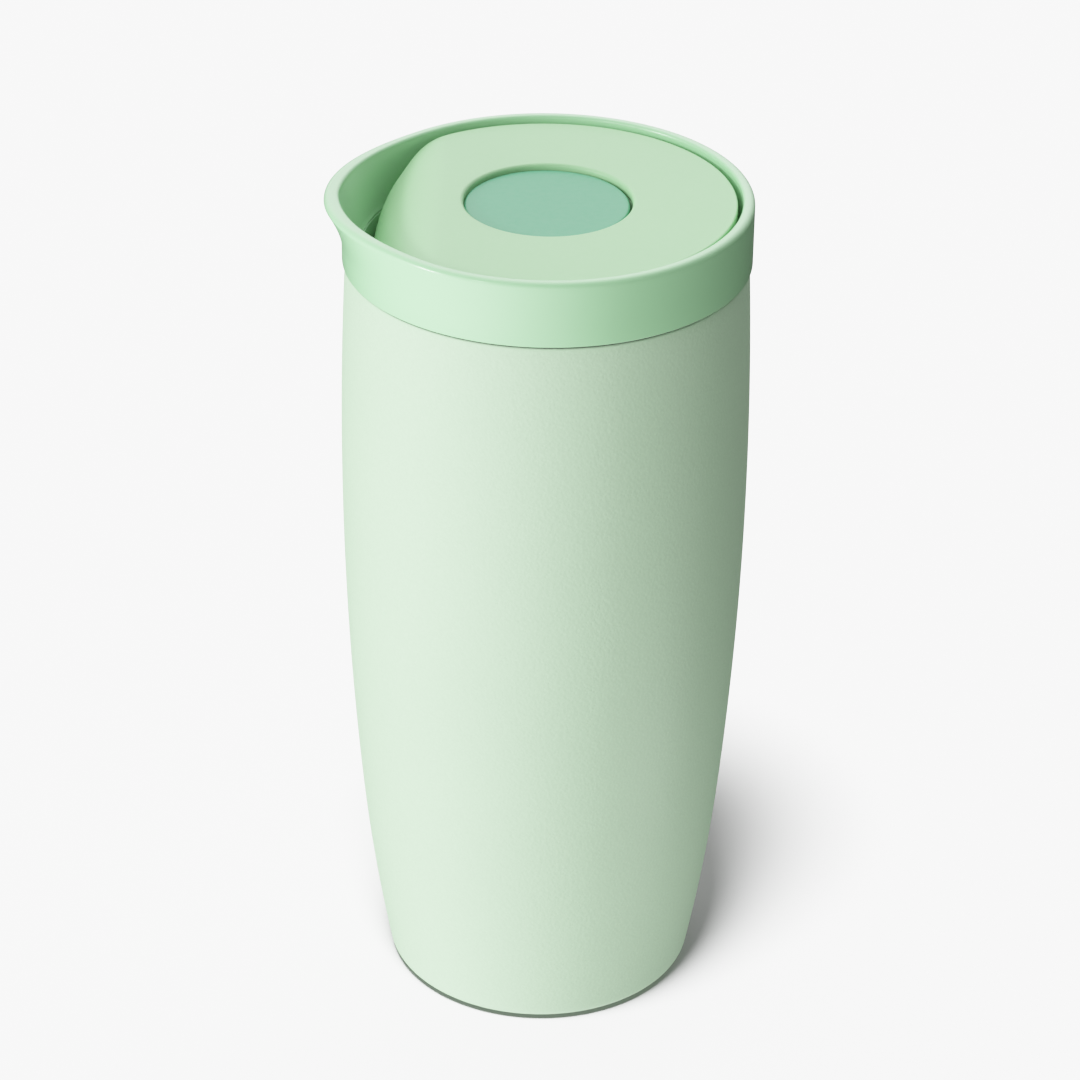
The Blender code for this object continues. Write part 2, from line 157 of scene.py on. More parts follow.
# Button and valve
BUTTON_RADIUS = 17.3
BUTTON_PLAY = -0.22        # the button stands this much towards the spout in its bore
STEM_RADIUS = 3.2
STROKE = 4.0
TOOTH_COUNT = 8
TOOTH_HIGH = 178.4
TOOTH_DROP_ANGLE = 1.5
TOOTH_GAP = 0.4
SPRING_RADIUS = 13.4
SPRING_WIRE = 0.6
SPRING_TURNS = 6
NUT_FLAT = 5.0             # half the width across flats
NUT_CORNER = 5.2           # radius at the rounded corners

# Light
SOFT_LIGHTS = (      # ((azimuth, elevation), narrowness, strength) of each lobe of the world's light
    ((245, -15), 4, 3.15),
    ((200, -10), 4, 3.3),
    ((90, 50), 3, 4.15),
    ((0, -90), 8, 3.0),
)
KEYS = (             # (name, (azimuth, elevation), strength, angle across) of the suns on the mug
    ("key_left", (202, 15), 1.6, 9),
    ("key_front", (232, 30), 0.35, 6),
)
LOW_LAMP_PLACE = (0.115, -0.065, 0.0)
LOW_LAMP_TARGET = (0.0, 0.0, 0.03)
LOW_LAMP_POWER = 0.035
LOW_LAMP_SIZE = 0.06
WHITE = 2.8          # how bright the camera sees the empty studio
FLOOR_REACH = 8.0    # half the floor's width, in metres
FLOOR_TONE = 0.25    # grey of the floor, which its own light brings up to near white
FLOOR_LIGHT = 30.0
FLOOR_LIGHT_FROM = (248, 75)
FLOOR_LIGHT_ANGLE = 14
TONE_WHITE = 6.0     # brightness at the end of the tone curve
TONE_POINTS = (0.1, 0.25, 0.5, 0.8, 1.2, 1.7, 2.3, 3.0, 4.0, 5.0)

# Camera
LENS = 123.1         # focal length and sensor width in mm
SENSOR = 36.0
CAMERA_PLACE = (0.0, -0.7018, 0.5084)
CAMERA_YAW = 0.066   # angles in degrees; pitch is downwards
CAMERA_PITCH = 29.89
CAMERA_ROLL = 0.72


# ---------------------------------------------------------------- mesh helpers

def arc(centre_r, centre_z, radius, start, end, steps):
    """Points of an arc in the section plane; angles in degrees from the outward direction."""
    points = []
    for step in range(steps + 1):
        turn = radians(start + (end - start) * step / steps)
        points.append((centre_r + radius * cos(turn), centre_z + radius * sin(turn)))
    return points


def rounded(corners, steps=4):
    """Closed outline whose corners, given as (r, z) or (r, z, fillet radius), are rounded."""
    points = []
    count = len(corners)
    for index, corner in enumerate(corners):
        spot = Vector(corner[:2])
        if len(corner) < 3:
            points.append(tuple(spot))
            continue
        before = Vector(corners[index - 1][:2]) - spot
        after = Vector(corners[(index + 1) % count][:2]) - spot
        half = before.angle(after) / 2
        reach = min(corner[2] / tan(half), before.length * 0.48, after.length * 0.48)
        radius = reach * tan(half)
        middle = spot + (before.normalized() + after.normalized()).normalized() * (radius / sin(half))
        first = spot + before.normalized() * reach - middle
        last = spot + after.normalized() * reach - middle
        start = atan2(first.y, first.x)
        sweep = (atan2(last.y, last.x) - start + pi) % (2 * pi) - pi
        for step in range(steps + 1):
            turn = start + sweep * step / steps
            points.append((middle.x + radius * cos(turn), middle.y + radius * sin(turn)))
    return points


def lower_arc_centre():
    """Height of the lower arc's centre, which makes the two arcs meet smoothly."""
    return LOWER_ARC_TOP + (SHELL_WIDEST_AT - LOWER_ARC_TOP) * LOWER_ARC / BARREL_ARC


def barrel_radius(height, inset=0.0):
    """Outer radius of the flask: a long arc, and a tighter one that carries on below it."""
    rise = max(height, LOWER_ARC_TOP) - SHELL_WIDEST_AT
    radius = SHELL_RADIUS - BARREL_ARC + sqrt(BARREL_ARC ** 2 - rise ** 2) - inset
    if height < LOWER_ARC_TOP:
        drop = height - lower_arc_centre()
        start = LOWER_ARC_TOP - lower_arc_centre()
        radius += sqrt(LOWER_ARC ** 2 - drop ** 2) - sqrt(LOWER_ARC ** 2 - start ** 2)
    return radius


def barrel(bottom, top, inset, steps):
    """Points up the barrel from one height to another."""
    heights = [bottom + (top - bottom) * step / steps for step in range(steps + 1)]
    return [(barrel_radius(height, inset), height) for height in heights]


def barrel_corner(floor, radius, inset, thickness, steps):
    """Rounded corner from a flat floor up to the barrel, pulled in by thickness."""
    centre_z = floor + radius
    lean = asin((lower_arc_centre() - centre_z) / (LOWER_ARC - radius))
    touch_z = centre_z - radius * sin(lean)
    centre_r = barrel_radius(touch_z, inset) - radius * cos(lean)
    return arc(centre_r, centre_z, radius + thickness, -90, -degrees(lean), steps)


def even_angles(count):
    return [360.0 * step / count for step in range(count)]


def ring(section, angles):
    """Carry a closed section round Z. The section is a list, or a function of the angle."""
    form = bmesh.new()
    columns = []
    for angle in angles:
        outline = section(angle) if callable(section) else section
        turn = radians(angle)
        columns.append([form.verts.new((r * cos(turn), r * sin(turn), z)) for r, z in outline])
    for column, following in zip(columns, columns[1:] + columns[:1]):
        for index in range(len(column)):
            after = (index + 1) % len(column)
            form.faces.new((column[index], following[index], following[after], column[after]))
    bmesh.ops.remove_doubles(form, verts=form.verts, dist=SAME_POINT)
    bmesh.ops.dissolve_degenerate(form, edges=form.edges, dist=NO_LENGTH)
    return form


def add_piece(name, form, material, body, stands_for=()):
    """Turn a bmesh in millimetres into a piece in metres that rides on a CAD body."""
    bmesh.ops.scale(form, vec=(MM, MM, MM), verts=form.verts)
    bmesh.ops.recalc_face_normals(form, faces=form.faces)
    mesh = bpy.data.meshes.new(name)
    form.to_mesh(mesh)
    form.free()
    mesh.shade_smooth()
    mesh.set_sharp_from_angle(angle=SMOOTH_ANGLE)
    mesh.materials.append(material)
    piece = bpy.data.objects.new(name, mesh)
    bpy.context.collection.objects.link(piece)
    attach(piece, body)
    if stands_for:
        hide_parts(*stands_for)
    return piece


def turned(name, section, material, body, stands_for, columns):
    """A piece made by carrying a section round the axis in equal steps."""
    return add_piece(name, ring(section, even_angles(columns)), material, body, stands_for)


def smooth_step(value):
    """0 to 1 as the value goes from 0 to 1, level at both ends."""
    value = min(max(value, 0.0), 1.0)
    return value * value * (3 - 2 * value)


# ---------------------------------------------------------------- materials

class Surface:
    """A Principled material with short ways to add procedural detail."""

    def __init__(self, name, colour, roughness, metallic=0.0):
        self.material = bpy.data.materials.new(name)
        self.material.use_nodes = True
        self.nodes = self.material.node_tree.nodes
        self.links = self.material.node_tree.links
        self.shader = self.nodes["Principled BSDF"]
        self.colour = colour
        self.set("Base Color", (*colour, 1.0))
        self.set("Roughness", roughness)
        self.set("Metallic", metallic)
        self.place = self.nodes.new("ShaderNodeTexCoord").outputs["Object"]
        self.normal = None

    def set(self, socket, value):
        """Set a value of the shader that is the same all over."""
        self.shader.inputs[socket].default_value = value

    def maths(self, operation, *values):
        """A math node whose values are numbers or other nodes' outputs."""
        node = self.nodes.new("ShaderNodeMath")
        node.operation = operation
        for socket, value in zip(node.inputs, values):
            if isinstance(value, (int, float)):
                socket.default_value = value
            else:
                self.links.new(value, socket)
        return node.outputs[0]

    def noise(self, scale, detail, place=None):
        node = self.nodes.new("ShaderNodeTexNoise")
        node.inputs["Scale"].default_value = scale
        node.inputs["Detail"].default_value = detail
        self.links.new(place or self.place, node.inputs["Vector"])
        return node.outputs["Fac"]

    def cells(self, scale, feature="SMOOTH_F1", output="Distance"):
        node = self.nodes.new("ShaderNodeTexVoronoi")
        node.feature = feature
        node.inputs["Scale"].default_value = scale
        self.links.new(self.place, node.inputs["Vector"])
        return node.outputs[output]

    def stretched_place(self, around, along):
        """Coordinates (angle, radius, height) scaled, for lines that run round the axis."""
        split = self.nodes.new("ShaderNodeSeparateXYZ")
        self.links.new(self.place, split.inputs[0])
        x, y, z = split.outputs
        angle = self.maths("ARCTAN2", y, x)
        radius = self.maths("SQRT", self.maths("ADD", self.maths("MULTIPLY", x, x),
                                               self.maths("MULTIPLY", y, y)))
        join = self.nodes.new("ShaderNodeCombineXYZ")
        self.links.new(self.maths("MULTIPLY", angle, around), join.inputs[0])
        self.links.new(self.maths("MULTIPLY", radius, along), join.inputs[1])
        self.links.new(self.maths("MULTIPLY", z, along), join.inputs[2])
        return join.outputs[0]

    def ramp(self, value, low, high, start, end):
        """Map a value from start..end to low..high."""
        node = self.nodes.new("ShaderNodeMapRange")
        for socket, number in zip(("From Min", "From Max", "To Min", "To Max"),
                                  (start, end, low, high)):
            node.inputs[socket].default_value = number
        self.links.new(value, node.inputs["Value"])
        return node.outputs["Result"]

    def vary_roughness(self, value, low, high, start=0.3, end=0.7):
        self.links.new(self.ramp(value, low, high, start, end), self.shader.inputs["Roughness"])

    def vary_colour(self, value, darker, lighter, start=0.3, end=0.7):
        """Scale the base colour between two shares as value goes from start to end."""
        previous = self.shader.inputs["Base Color"].links
        source = previous[0].from_socket if previous else None
        node = self.nodes.new("ShaderNodeVectorMath")
        node.operation = "SCALE"
        if source is None:
            node.inputs[0].default_value = self.colour
        else:
            self.links.new(source, node.inputs[0])
        self.links.new(self.ramp(value, darker, lighter, start, end), node.inputs["Scale"])
        self.links.new(node.outputs[0], self.shader.inputs["Base Color"])

    def bump(self, height, depth_mm, strength):
        node = self.nodes.new("ShaderNodeBump")
        node.inputs["Strength"].default_value = strength
        node.inputs["Distance"].default_value = depth_mm * MM
        self.links.new(height, node.inputs["Height"])
        if self.normal is not None:
            self.links.new(self.normal, node.inputs["Normal"])
        self.normal = node.outputs["Normal"]
        self.links.new(self.normal, self.shader.inputs["Normal"])


def powder_coat():
    """Matt green powder coat with fine pebbles."""
    surface = Surface("powder_coat", (0.5, 0.735, 0.49), 0.5)
    pebbles = surface.cells(1500)
    grain = surface.noise(2600, 2)
    surface.vary_colour(surface.noise(16, 2), 0.985, 1.015)
    surface.vary_colour(surface.cells(2300, "F1", "Color"), 0.97, 1.03, 0.0, 1.0)
    surface.vary_roughness(surface.noise(900, 3), 0.44, 0.56)
    surface.bump(pebbles, 0.05, 0.8)
    surface.bump(grain, 0.02, 0.8)
    return surface.material


def lid_plastic(name, colour, roughness, gloss=0.0):
    """Satin moulded plastic; gloss is the share of a clear, sharper sheen over it."""
    surface = Surface(name, colour, roughness)
    surface.set("Coat Weight", gloss)
    surface.set("Coat Roughness", 0.18)
    surface.vary_colour(surface.noise(30, 2), 0.985, 1.015)
    surface.vary_roughness(surface.noise(700, 3), roughness - 0.03, roughness + 0.03)
    surface.bump(surface.noise(1200, 2), 0.002, 0.5)
    return surface.material


def brushed_steel(name, colour):
    """Steel with fine lines that run round the axis."""
    surface = Surface(name, colour, 0.35, 1.0)
    lines = surface.noise(1.0, 3, surface.stretched_place(around=6.0, along=5200.0))
    surface.vary_colour(surface.noise(40, 3), 0.95, 1.05)
    surface.vary_roughness(lines, 0.29, 0.43)
    surface.bump(lines, 0.01, 0.5)
    return surface.material


def silicone(name, colour):
    """Matt, slightly uneven rubber; its roughness also suits the pressed getter powder and the
    near-black painted shade of the seam ring.
    """
    surface = Surface(name, colour, 0.62)
    surface.vary_colour(surface.noise(60, 3), 0.97, 1.03)
    surface.vary_roughness(surface.noise(400, 3), 0.56, 0.7)
    surface.bump(surface.noise(1500, 4), 0.015, 0.7)
    return surface.material


# ---------------------------------------------------------------- thread

def thread_rise(angle):
    """Height along a ridge; between two ridges the rows fall back to where they began."""
    pitch_angle = 360.0 / THREAD_STARTS
    local = angle % pitch_angle
    top = THREAD_LEAD * RIDGE_ANGLE / 360.0
    if local <= RIDGE_ANGLE:
        return THREAD_LEAD * local / 360.0
    return top * (pitch_angle - local) / (pitch_angle - RIDGE_ANGLE)


def thread_height(angle):
    """Full depth along the ridge, fading out over a short taper at its two ends."""
    local = angle % (360.0 / THREAD_STARTS)
    return THREAD_DEPTH * smooth_step(min(local, RIDGE_ANGLE - local) / RIDGE_TAPER)


def thread_rows(wall, direction, start, angle):
    """Points across one ridge, from its upper root to its lower root, with soft flanks."""
    middle = start + thread_rise(angle)
    margin = THREAD_ROOT + THREAD_MARGIN
    steps = 14
    rows = [(wall, middle + margin)]
    for step in range(steps + 1):
        offset = THREAD_ROOT * (1 - 2 * step / steps)
        share = smooth_step((THREAD_ROOT - abs(offset)) / (THREAD_ROOT - THREAD_CREST))
        rows.append((wall + direction * thread_height(angle) * share, middle + offset))
    return rows + [(wall, middle - margin)]


# ---------------------------------------------------------------- flask

def shell_section():
    """The outer wall: the bottom's opening, the barrel, the lip and back down the inside."""
    lip_outer = barrel_radius(LIP_TOP)
    lip_bottom = BASE_BOTTOM + BASE_LIP_ROUND
    section = [(BASE_OPENING, BASE_BOTTOM + SHEET), (BASE_OPENING, lip_bottom)]
    section += arc(BASE_OPENING + BASE_LIP_ROUND, lip_bottom, BASE_LIP_ROUND, 180, 270, 4)
    section += barrel_corner(BASE_BOTTOM, BASE_CORNER, 0.0, 0.0, 12)
    section += barrel(4.0, LIP_TOP - 0.6, 0.0, 64)
    section += arc(lip_outer - LIP_ROUND, LIP_TOP - LIP_ROUND, LIP_ROUND, 15, 90, 5)
    section += [(lip_outer - SHEET, LIP_TOP - 0.1)]
    section += reversed(barrel(14.0, LIP_TOP - 0.6, SHEET, 20))
    section += reversed(barrel_corner(BASE_BOTTOM, BASE_CORNER, 0.0, -SHEET, 8))
    return section


def liner_section(angle):
    """The inner wall: the lip, the thread, the gasket's seat, the wall, the floor and back up."""
    outer_wall = MOUTH_RADIUS + SHEET
    joint = barrel_radius(LIP_TOP) - SHEET - 0.02      # just inside the shell's lip
    inset = LINER_INSET
    lip = arc(MOUTH_RADIUS + LIP_ROUND, LIP_TOP - LIP_ROUND, LIP_ROUND, 90, 180, 6)
    inside = thread_rows(MOUTH_RADIUS, -1.0, MOUTH_RIDGE_START, angle)
    seat = rounded([(MOUTH_RADIUS, MOUTH_BOTTOM + 2.0), (MOUTH_RADIUS, MOUTH_BOTTOM, 1.0),
                    (barrel_radius(SEAT_BOTTOM, inset), SEAT_BOTTOM, 1.5),
                    (barrel_radius(SEAT_BOTTOM - 6, inset), SEAT_BOTTOM - 6)])
    wall = reversed(barrel(22.0, SEAT_BOTTOM - 8, inset, 40))
    corner = reversed(barrel_corner(LINER_FLOOR, LINER_CORNER, inset, 0.0, 14))
    floor = [(LINER_STEP_RADIUS + 2.0, LINER_FLOOR), (LINER_STEP_RADIUS + 1.4, LINER_FLOOR + 0.12),
             (LINER_STEP_RADIUS + 0.8, LINER_FLOOR + 0.35),
             (LINER_STEP_RADIUS, LINER_FLOOR + LINER_STEP), (0.0, LINER_FLOOR + LINER_STEP),
             (0.0, LINER_FLOOR - SHEET)]
    outside = barrel_corner(LINER_FLOOR, LINER_CORNER, inset, SHEET, 8)
    outside += barrel(22.0, SEAT_BOTTOM, inset - SHEET, 14)
    outside += [(outer_wall, MOUTH_BOTTOM - 0.3), (outer_wall, LIP_TOP - 1.2)]
    outside += [(joint, LIP_TOP - 0.9), (joint, LIP_TOP)]
    return lip + inside + seat + [*wall] + [*corner] + floor + outside


def make_base_disc(steel):
    """Disc in the shell's opening: its rim turns down, and a shallow band stands out under it."""
    disc = rounded([(1.5, 2.3), (8.0, 2.3), (8.6, 2.0), (20.0, 2.0, 0.4), (21.0, 2.3, 0.4),
                    (25.9, 2.3, 0.3), (25.9, 0.9, 0.2), (26.6, 0.9, 0.2), (26.6, 2.9, 0.6),
                    (1.5, 2.9)])
    turned("base_disc", disc, steel, "flask", ["outer_base"], 128)


def make_vacuum_bead(steel):
    """Plug that seals the hole in the middle of the disc, with a head under it."""
    bead = rounded([(0, 1.3), (2.9, 1.3, 0.2), (3.2, 1.7, 0.3), (3.0, 2.0, 0.2), (1.1, 2.0),
                    (1.1, 3.4, 0.2), (0, 3.6)])
    turned("vacuum_bead", bead, steel, "flask", ["vacuum_seal"], 40)


def make_getter(dull):
    """Pellet in the vacuum, beside the axis."""
    outline = rounded([(0, 3.2), (4.0, 3.2, 0.4), (4.0, 5.4, 0.4), (0, 5.4)])
    pellet = ring(outline, even_angles(40))
    bmesh.ops.translate(pellet, vec=(GETTER_PLACE, 0.0, 0.0), verts=pellet.verts)
    add_piece("getter_pellet", pellet, dull, "flask", ["getter"])


def make_pad(rubber):
    """Round pad under the base, with two grooves in its underside."""
    pad = [(0, 0.0)]
    for groove in PAD_GROOVES:
        inner, outer = groove - PAD_GROOVE_HALF, groove + PAD_GROOVE_HALF
        pad += [(inner, 0.0, 0.2), (inner + 0.3, PAD_GROOVE_DEPTH, 0.15)]
        pad += [(outer - 0.3, PAD_GROOVE_DEPTH, 0.15), (outer, 0.0, 0.2)]
    pad += [(PAD_RADIUS, 0.0, 0.6), (PAD_RADIUS, 2.0, 0.2), (3.6, 2.0), (3.6, 1.0), (0, 1.0)]
    turned("foot_pad", rounded(pad), rubber, "flask", ["base_pad"], 160)


def make_flask(coat, steel, rubber, dull):
    turned("mug_body", shell_section(), coat, "flask", ["outer_shell"], 240)
    turned("steel_liner", liner_section, steel, "flask", ["inner_liner"], 216)
    make_base_disc(steel)
    make_vacuum_bead(steel)
    make_getter(dull)
    make_pad(rubber)


# ---------------------------------------------------------------- lid

def away_from_spout(angle):
    """Angle between a ray from the axis and the tip of the spout, on -X."""
    return abs(angle % 360.0 - 180.0)


def spout_share(angle):
    """1 at the tip of the spout and 0 outside it."""
    away = away_from_spout(angle)
    if away >= SPOUT_HALF_ANGLE:
        return 0.0
    return cos(pi / 2 * away / SPOUT_HALF_ANGLE) ** 2


def spout_crease(angle):
    """Sharper share for the inner wall, which meets in a faint crease at the tip."""
    pointed = max(0.0, 1.0 - away_from_spout(angle) / SPOUT_HALF_ANGLE)
    return (1 - CREASE_SHARE) * spout_share(angle) + CREASE_SHARE * pointed ** 1.5


def collar_section(angle):
    """The collar: its foot, the outside with the spout's flare, the rim and the inside."""
    share = spout_share(angle)
    inner_share = spout_crease(angle)
    foot = [(COLLAR_RADIUS - 1.6, SEAM)]
    foot += arc(COLLAR_RADIUS - 0.2, SEAM + 0.2, 0.2, -90, 0, 4)
    round_bottom = RIM_TOP - RIM_ROUND
    steps = 22
    outside = []
    for step in range(steps + 1):
        part = step / steps
        height = FLARE_BOTTOM + part * (round_bottom - FLARE_BOTTOM)
        outside.append((COLLAR_RADIUS + SPOUT_REACH * share * part ** OUTER_FLARE, height))
    outer_top = outside[-1][0]
    rim = arc(outer_top - RIM_ROUND, round_bottom, RIM_ROUND, 12, 90, 8)
    inner_top = COLLAR_INNER + SPOUT_INNER_REACH * inner_share
    inner_middle = inner_top + RIM_INNER_ROUND
    rim += arc(inner_middle, RIM_TOP - RIM_INNER_ROUND, RIM_INNER_ROUND, 90, 180, 6)
    foot_height = PLUG_TOP + 0.4
    inside = []
    for step in range(1, steps + 1):
        part = 1.0 - step / steps
        height = foot_height + part * (RIM_TOP - RIM_INNER_ROUND - foot_height)
        taper = (COLLAR_INNER - COLLAR_FOOT) * sqrt(part)
        reach = SPOUT_INNER_REACH * inner_share * part ** INNER_FLARE
        inside.append((COLLAR_FOOT + taper + reach, height))
    rebate = SHOULDER_RADIUS + 0.3
    return foot + outside + rim + inside + [(rebate, foot_height), (rebate, SEAM)]


def ramp_point(part, inset=0.0):
    """Point (distance towards -X, height) on the quarter circle of the ramp."""
    radius = RAMP_START - RAMP_END - inset
    turn = pi / 2 * part
    return radius * sin(turn) - RAMP_START, COVER_TOP - inset - radius * (1 - cos(turn))


def cover_edge(height):
    """Radius of the cover's edge: the rim flange, drawing in to a waist down the ramp."""
    share = (COVER_TOP - height) / WAIST_DEPTH
    return COVER_RADIUS - (COVER_RADIUS - COVER_WAIST) * smooth_step(share)


def ramp_end(lean, limit, inset=0.0):
    """Share of the ramp that a ray from the axis runs down before it meets the limit."""
    low, high = 0.0, 1.0
    for _ in range(30):
        middle = (low + high) / 2
        if ramp_point(middle, inset)[0] / lean < limit(middle):
            low = middle
        else:
            high = middle
    return high


def cover_section(angle):
    """Section of the cover along a ray: the hole's edge, the flat, the ramp and the skirt.

    Away from the ramp its points are drawn together at the edge, a spacing apart, so that every
    section has the same number of points.
    """
    lean = -cos(radians(angle))
    steps = 32
    spacing = 0.002

    def slope(part):
        return pi / 2 if part > 0.9999 else atan2(sin(pi / 2 * part) * lean, cos(pi / 2 * part))

    def edge_limit(part):
        return cover_edge(ramp_point(part)[1]) - COVER_EDGE_ROUND * (1 - sin(slope(part)))

    hole = arc(HOLE_RADIUS + HOLE_ROUND, COVER_TOP - HOLE_ROUND, HOLE_ROUND, 180, 90, 8)
    flat_end = COVER_RADIUS - COVER_EDGE_ROUND
    end_slope = 0.0
    if lean * flat_end > -RAMP_START:
        end = ramp_end(lean, edge_limit)
        spots = [ramp_point(end * step / steps) for step in range(steps + 1)]
        surface = [(reach / lean, height) for reach, height in spots]
        end_slope = slope(end)
    else:
        surface = [(flat_end - spacing * (steps - step), COVER_TOP) for step in range(steps + 1)]
    end_r, end_z = surface[-1]
    centre_r = end_r - COVER_EDGE_ROUND * sin(end_slope)
    centre_z = end_z - COVER_EDGE_ROUND * cos(end_slope)
    edge = arc(centre_r, centre_z, COVER_EDGE_ROUND, 90 - degrees(end_slope), 0, 6)
    flange = max(min(COVER_TOP - COVER_THICK, edge[-1][1] - 0.5), COVER_BOTTOM + 0.2)
    outer = min(COVER_SKIRT, edge[-1][0])
    skirt = [(edge[-1][0], flange), (outer, flange - 0.01)]
    inner = outer - COVER_WALL
    skirt += [(outer, COVER_BOTTOM), (inner, COVER_BOTTOM)]
    if lean * inner > -RAMP_START:
        end = ramp_end(lean, lambda part: inner, RAMP_THICK)
        spots = [ramp_point(end * (1 - step / steps), RAMP_THICK) for step in range(steps + 1)]
        under = [(min(reach / lean, inner), height) for reach, height in spots]
    else:
        under = [(inner - spacing * step, COVER_TOP - RAMP_THICK) for step in range(steps + 1)]
    return hole + surface + edge + skirt + under + [(HOLE_RADIUS, COVER_TOP - RAMP_THICK)]


def plug_section(angle):
    """The plug in section: its skirt with the gasket's groove, the thread lugs and the floor."""
    low = rounded([(35.6, FLOOR_BOTTOM), (35.6, PLUG_BOTTOM, 0.5), (37.7, PLUG_BOTTOM, 0.5),
                   (37.7, 154.6, 0.2), (37.0, 154.6), (37.0, 157.4), (PLUG_RADIUS, 157.4, 0.4),
                   (PLUG_RADIUS, 159.0)])
    lugs = reversed(thread_rows(PLUG_RADIUS, 1.0, LID_LUG_START, angle))
    high = rounded([(PLUG_RADIUS, 167.0), (PLUG_RADIUS, 168.3, 0.3), (SHOULDER_RADIUS, 168.3, 0.4),
                    (SHOULDER_RADIUS, PLUG_TOP, 0.2), (39.2, PLUG_TOP, 0.2), (39.2, 169.0, 1.0),
                    (38.0, 167.8, 0.6), (38.0, FLOOR_TOP, 1.2), (6.0, FLOOR_TOP, 0.5),
                    (6.0, 161.5, 0.3), (3.7, 161.5, 0.2), (3.7, FLOOR_BOTTOM, 0.2)])
    return low[1:] + [*lugs] + high + low[:1]


def make_lid(plastic, cover_plastic):
    turned("collar", collar_section, plastic, "lid", ["lid_collar"], 480)
    turned("cover", cover_section, cover_plastic, "lid", ["top_cover"], 360)
    plug = turned("plug", plug_section, plastic, "lid", ["lid_plug"], 216)
    drill_flow_holes(plug)


def make_gasket(rubber):
    """Ring in the plug's groove, with two lips towards the seat."""
    seal = rounded([(37.3, 154.9, 0.2), (38.3, 154.9, 0.3), (38.5, 155.5, 0.2), (39.0, 155.6, 0.2),
                    (39.4, 156.3, 0.25), (38.9, 156.5, 0.15), (38.9, 156.7, 0.15),
                    (39.4, 157.0, 0.2), (37.3, 157.1, 0.2)])
    turned("plug_gasket", seal, rubber, "gasket_ring", ["lid_gasket"], 180)


def make_seam_shadow_ring(rubber):
    """Near-black ring between the collar and the flask's lip: painted shade standing for the shadow
    in the seam's gap, which shows as the seam line.
    """
    inner, outer, bottom = 41.0, 42.6, LIP_TOP + 0.1
    section = rounded([(inner, bottom, 0.1), (outer, bottom, 0.1), (outer, SEAM, 0.1),
                       (inner, SEAM, 0.1)])
    # the rubber passed here is the near-black painted shade of the seam, not a seal
    turned("seam_shadow_ring", section, rubber, "lid", [], 240)


def drill_flow_holes(plug):
    """Cut the round holes through the plug's floor that the valve closes from below."""
    form = bmesh.new()
    radius = FLOW_HOLE_RADIUS * MM
    middle = (FLOOR_TOP + FLOOR_BOTTOM) / 2
    for angle in even_angles(FLOW_HOLES):
        turn = radians(angle + FLOW_HOLE_START)
        created = bmesh.ops.create_cone(form, cap_ends=True, segments=48, depth=8.0 * MM,
                                        radius1=radius, radius2=radius)
        place = Vector((FLOW_HOLE_CIRCLE * cos(turn), FLOW_HOLE_CIRCLE * sin(turn), middle)) * MM
        bmesh.ops.translate(form, vec=place, verts=created["verts"])
    mesh = bpy.data.meshes.new("flow_drill")
    form.to_mesh(mesh)
    form.free()
    drill = bpy.data.objects.new("flow_drill", mesh)
    bpy.context.collection.objects.link(drill)
    modifier = plug.modifiers.new("flow_holes", "BOOLEAN")
    modifier.operation = "DIFFERENCE"
    modifier.solver = "EXACT"
    modifier.object = drill
    bpy.context.view_layer.update()
    cut = bpy.data.meshes.new_from_object(plug.evaluated_get(bpy.context.evaluated_depsgraph_get()))
    plug.modifiers.clear()
    plug.data = cut
    cut.shade_smooth()
    cut.set_sharp_from_angle(angle=SMOOTH_ANGLE)
    bpy.data.objects.remove(drill, do_unlink=True)


# ---------------------------------------------------------------- button and valve

def tooth_angles():
    """Angles round the teeth: even steps along each slope, and none in the steep drop after it."""
    pitch = 360.0 / TOOTH_COUNT
    slope = pitch - TOOTH_DROP_ANGLE
    return [pitch * tooth + slope * step / 12 for tooth in range(TOOTH_COUNT) for step in range(13)]


def tooth_height(angle):
    """Saw-tooth that falls as the angle grows, one stroke in one pitch of the teeth."""
    pitch = 360.0 / TOOTH_COUNT
    local = angle % pitch
    return TOOTH_HIGH - STROKE * min(local, pitch - TOOTH_DROP_ANGLE) / pitch


def make_button(plastic, rubber):
    """The hollow button, slightly dished on top, and the seal in its groove."""
    section = [(0, BUTTON_TOP - 0.05), (8.0, BUTTON_TOP - 0.03)]
    section += rounded([(BUTTON_RADIUS - 1.5, BUTTON_TOP), (BUTTON_RADIUS, BUTTON_TOP, 0.55),
                        (BUTTON_RADIUS, 181.2, 0.2), (16.0, 181.2), (16.0, 179.4),
                        (BUTTON_RADIUS, 179.4, 0.2), (BUTTON_RADIUS, 177.6, 0.3),
                        (14.9, 177.6, 0.3), (14.9, 184.2, 0.6), (6.9, 184.2, 0.6),
                        (6.9, 174.1, 0.2), (3.6, 174.1, 0.2), (3.6, 181.3, 0.2)], 6)
    section += [(0, 181.3)]
    form = ring(section, even_angles(200))
    bmesh.ops.translate(form, vec=(BUTTON_PLAY, 0.0, 0.0), verts=form.verts)
    add_piece("push_button", form, plastic, "plunger", ["button"])
    seal = rounded([(16.3, 179.7, 0.2), (17.2, 179.7, 0.2), (17.45, 180.3, 0.2),
                    (17.2, 180.9, 0.2), (16.3, 180.9, 0.2)])
    turned("button_o_ring", seal, rubber, "plunger", ["button_seal"], 120)


def make_guide(plastic, rubber):
    """The button's bore with a collar for the stem under it, and the stem's seal."""
    bore = HOLE_RADIUS + 0.05
    guide = rounded([(3.7, 166.8, 0.2), (bore, 166.8, 0.6), (bore, 184.6, 0.2), (19.4, 184.6, 0.3),
                     (19.4, 165.2, 0.6), (7.4, 165.2, 0.4), (7.4, 162.6, 0.3), (5.9, 162.6, 0.2),
                     (5.9, 165.2), (3.7, 165.2)])
    turned("guide_bore", guide, plastic, "lid", ["button_guide"], 120)
    seal = rounded([(3.5, 163.3, 0.4), (5.6, 163.3, 0.4), (5.6, 164.9, 0.4), (3.5, 164.9, 0.4)])
    turned("stem_o_ring", seal, rubber, "lid", ["stem_seal"], 60)


